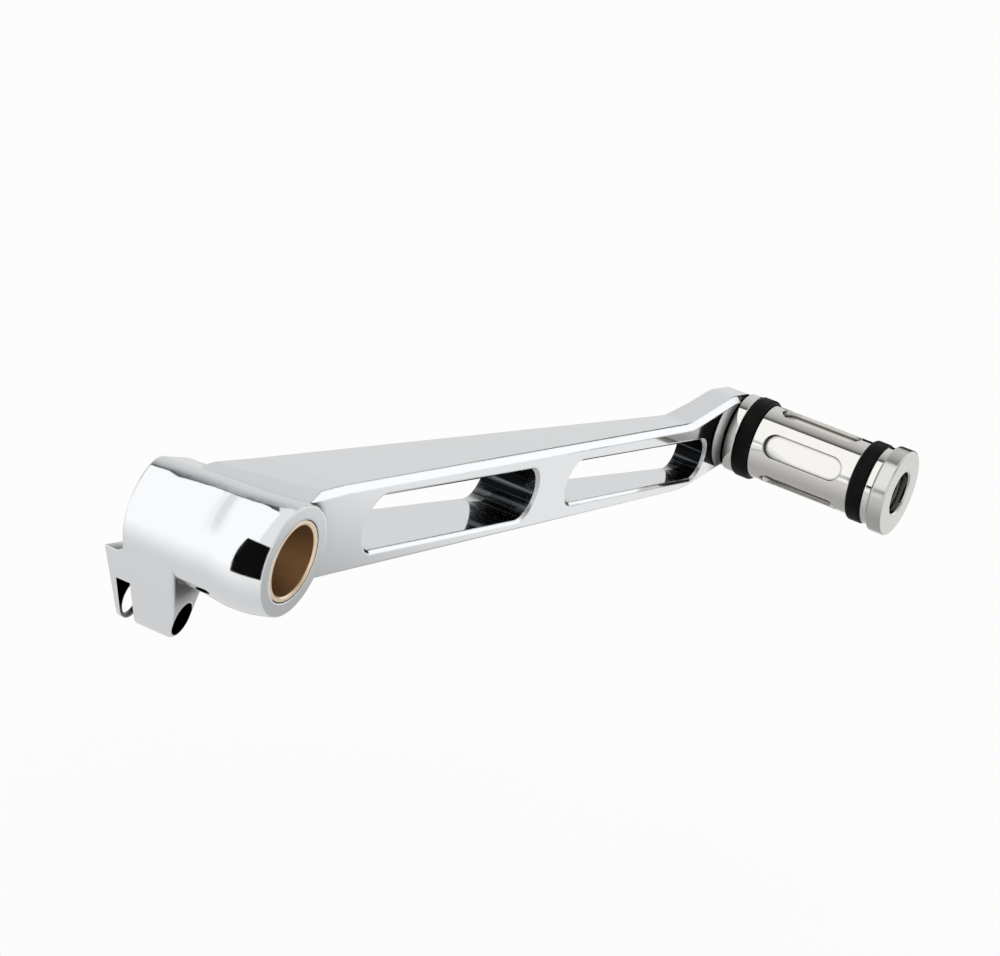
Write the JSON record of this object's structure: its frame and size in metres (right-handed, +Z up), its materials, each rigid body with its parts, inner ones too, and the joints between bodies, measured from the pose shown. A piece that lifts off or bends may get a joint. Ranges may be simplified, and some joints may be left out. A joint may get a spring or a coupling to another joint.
{
  "type": "motorcycle foot brake lever",
  "caption": "Rigid chrome foot lever with a slotted tapering arm, bushed pivot boss, split clevis for the brake rod and a bolted toe peg with rubber bands.",
  "frame": {"origin": "on the pivot axis at the outer end face of the pivot boss", "axes": "+X along the arm from pivot to peg, +Y along the pivot axis towards the motorcycle, +Z up"},
  "size_m": [0.3252, 0.1018, 0.0608],
  "materials": {
    "chromed_forging": "mirror chrome plate",
    "chromed_peg": "polished chrome plate",
    "bronze": "turned sintered bronze",
    "black_rubber": "satin moulded rubber",
    "plated_steel": "zinc plated"
  },
  "bodies": {
    "root": {"lever_arm": "chromed_forging", "outer_bushing": "bronze", "inner_bushing": "bronze", "peg_body": "chromed_peg", "inner_band": "black_rubber", "outer_band": "black_rubber", "peg_end_cap": "chromed_peg", "peg_screw": "plated_steel", "screw_lock_washer": "plated_steel"}
  },
  "joints": []
}
